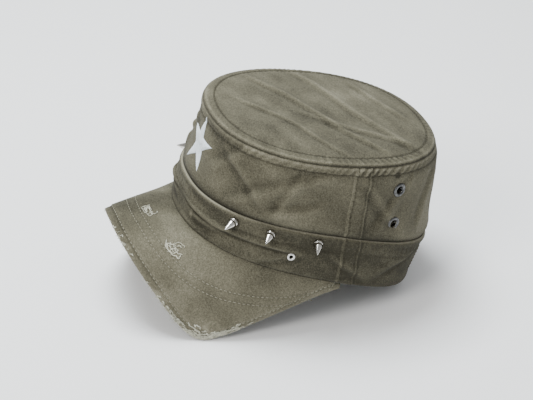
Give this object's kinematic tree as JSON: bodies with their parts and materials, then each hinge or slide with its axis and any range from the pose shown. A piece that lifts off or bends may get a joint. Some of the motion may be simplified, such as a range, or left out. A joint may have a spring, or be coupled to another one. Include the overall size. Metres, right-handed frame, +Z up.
{
  "type": "military field cap",
  "caption": "Flat-topped military field cap in washed olive cotton twill: stitched crown and band, arched frayed peak, cone studs, vent eyelets and an adjustable back strap with a clasp.",
  "frame": {"origin": "Centre of the bounding box, at the level that the cap rests on.", "axes": "+Z up; the peak points along -Y; +X is the wearer's left. The cap lies tilted back about 16 degrees, on its two peak corners and the back of its rim."},
  "size_m": [0.192, 0.267, 0.1625],
  "materials": {
    "cloth": "washed, faded olive cotton twill",
    "tape": "plain-weave seam tape",
    "tape_outer": "folded bias binding",
    "stiffener": "stiff open-weave buckram",
    "sweatband": "folded cotton twill",
    "board": "bent polyethylene board",
    "embroidery": "white satin-stitch embroidery",
    "spike_metal": "polished nickel plate",
    "dark_metal": "worn gunmetal plate"
  },
  "bodies": {
    "cap": {"top_panel": "cloth", "crown_front_panel": "cloth", "crown_rear_left_panel": "cloth", "crown_rear_right_panel": "cloth", "band_front": "cloth", "band_rear_left": "cloth", "band_rear_right": "cloth", "top_seam_tape": "tape", "side_seam_tape_left": "tape", "side_seam_tape_right": "tape", "back_seam_tape": "tape", "front_stiffener": "stiffener", "sweatband": "sweatband", "visor_top_cover": "cloth", "visor_board": "board", "visor_under_cover": "cloth", "band_eyelet": "spike_metal", "band_eyelet_washer": "spike_metal", "clasp_frame": "dark_metal", "clasp_pin": "dark_metal", "clasp_tab": "cloth", "back_arch_binding": "tape_outer", "front_star": "embroidery", "spikes_left": "spike_metal", "spikes_right": "spike_metal", "spike_screws_left": "spike_metal", "spike_screws_right": "spike_metal", "vent_eyelets_left": "dark_metal", "vent_eyelets_right": "dark_metal", "vent_washers_left": "dark_metal", "vent_washers_right": "dark_metal"},
    "strap": {"back_strap": "cloth"},
    "lever": {"clasp_lever": "dark_metal"}
  },
  "joints": [
    {"name": "strap_adjust", "type": "hinge", "parent": "cap", "child": "strap", "pos_m": [0, 0.03786, 0.04298], "axis": [0, 0.2768, 0.9609], "range_deg": [-8, 3]},
    {"name": "clasp_lever", "type": "hinge", "parent": "cap", "child": "lever", "pos_m": [0.00992, 0.1215, 0.01888], "axis": [0, 0.2768, 0.9609], "range_deg": [0, 105]}
  ]
}
